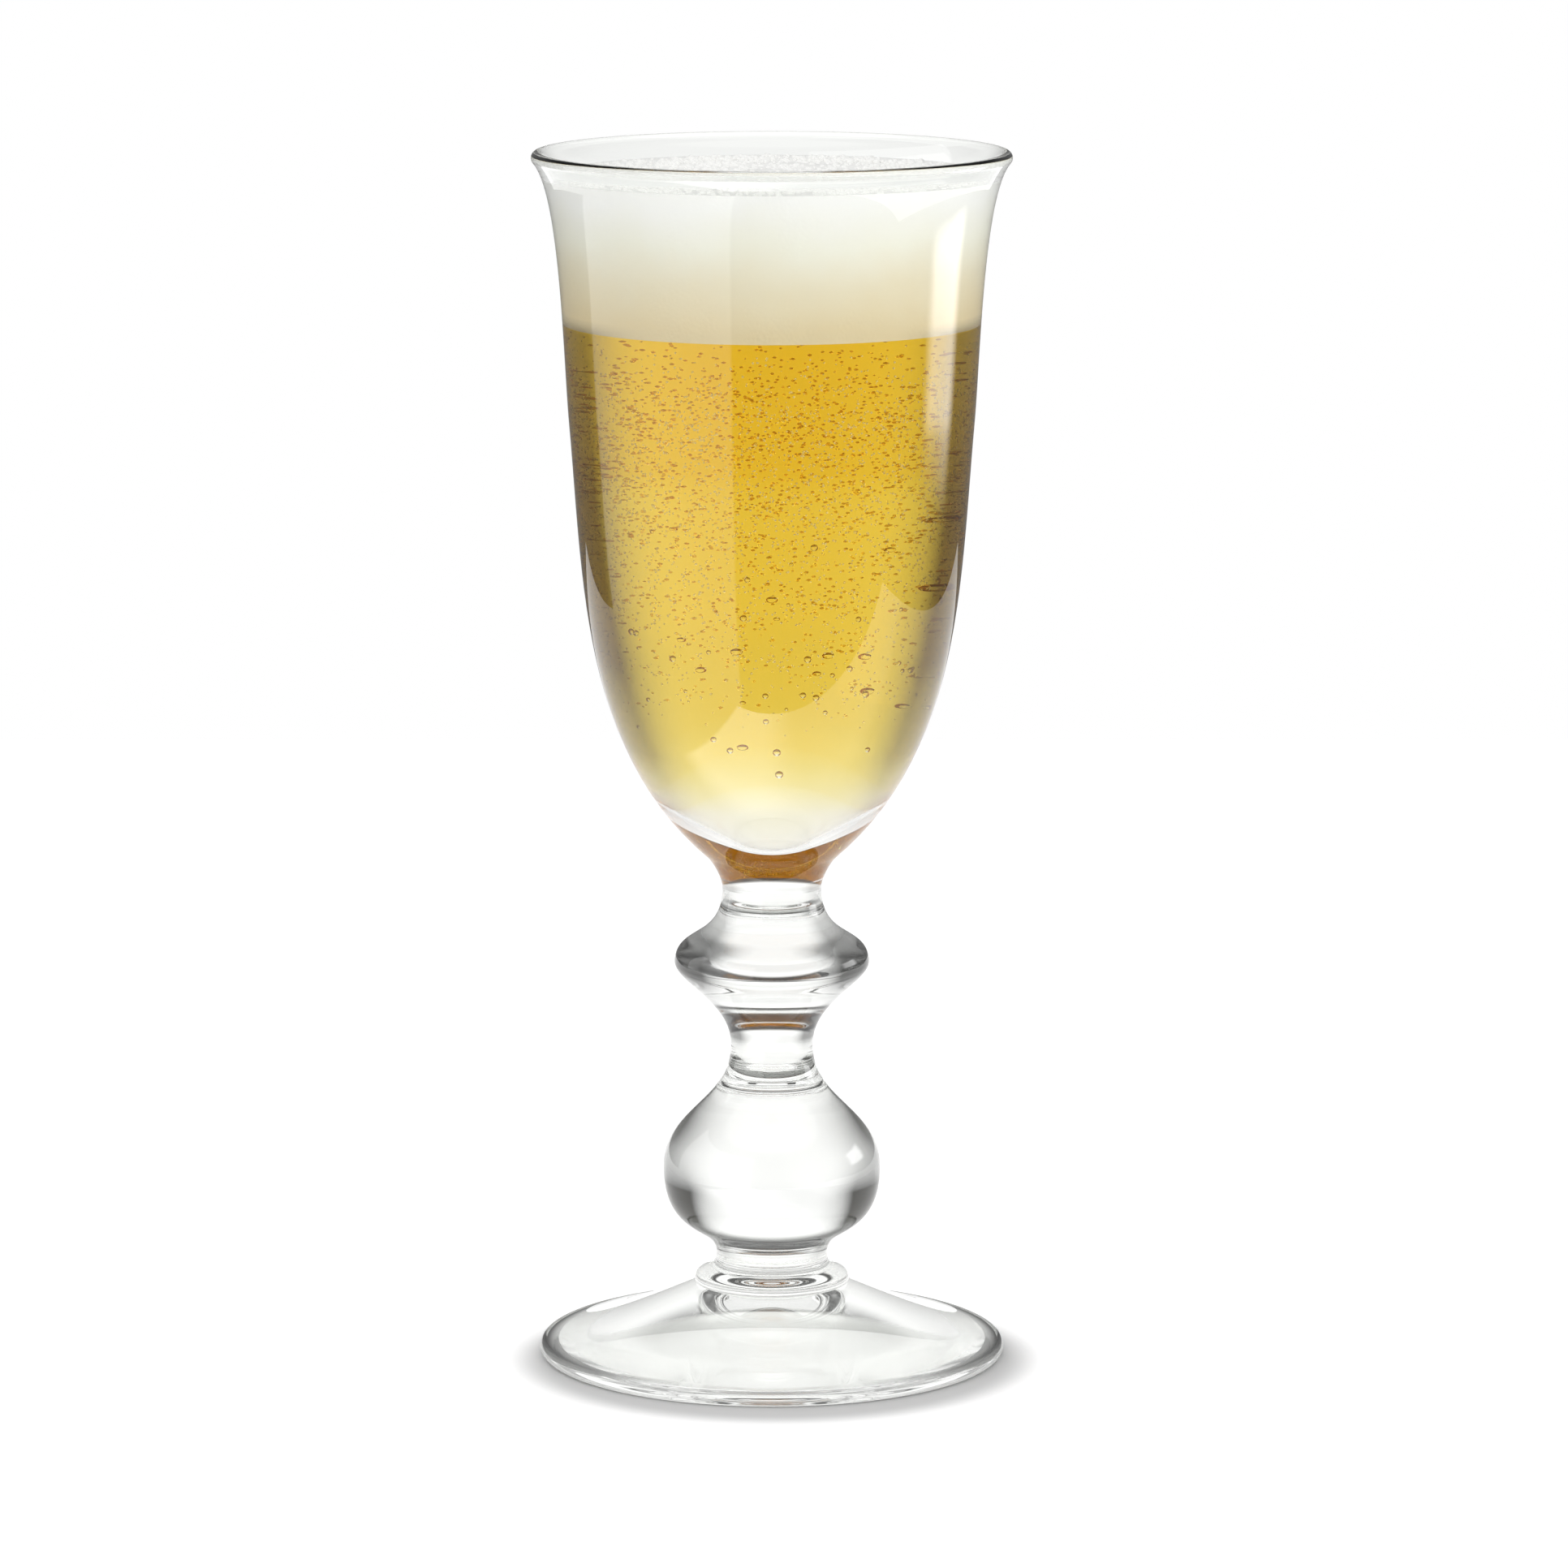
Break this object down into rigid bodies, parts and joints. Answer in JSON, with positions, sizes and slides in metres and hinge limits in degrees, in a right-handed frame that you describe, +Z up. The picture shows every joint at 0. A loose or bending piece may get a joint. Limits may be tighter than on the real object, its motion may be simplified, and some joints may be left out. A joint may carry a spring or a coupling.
{
  "type": "pilsner glass",
  "caption": "Stemmed pilsner glass with a flared bowl, angular and ball knops and a trumpet foot, filled with golden beer under a head of foam.",
  "frame": {"origin": "centre of the foot, on the surface that the glass stands on", "axes": "+Z up along the axis that every piece is turned about; +X and +Y are level"},
  "size_m": [0.0782, 0.0782, 0.2],
  "materials": {
    "clear_glass": "polished",
    "beer": "clear golden liquid with fine bubbles",
    "foam": "matte, fine bubbles"
  },
  "bodies": {
    "root": {"bowl": "clear_glass", "upper_knop": "clear_glass", "ball_knop": "clear_glass", "foot_ring": "clear_glass", "foot": "clear_glass", "beer": "beer", "foam_head": "foam"}
  },
  "joints": []
}
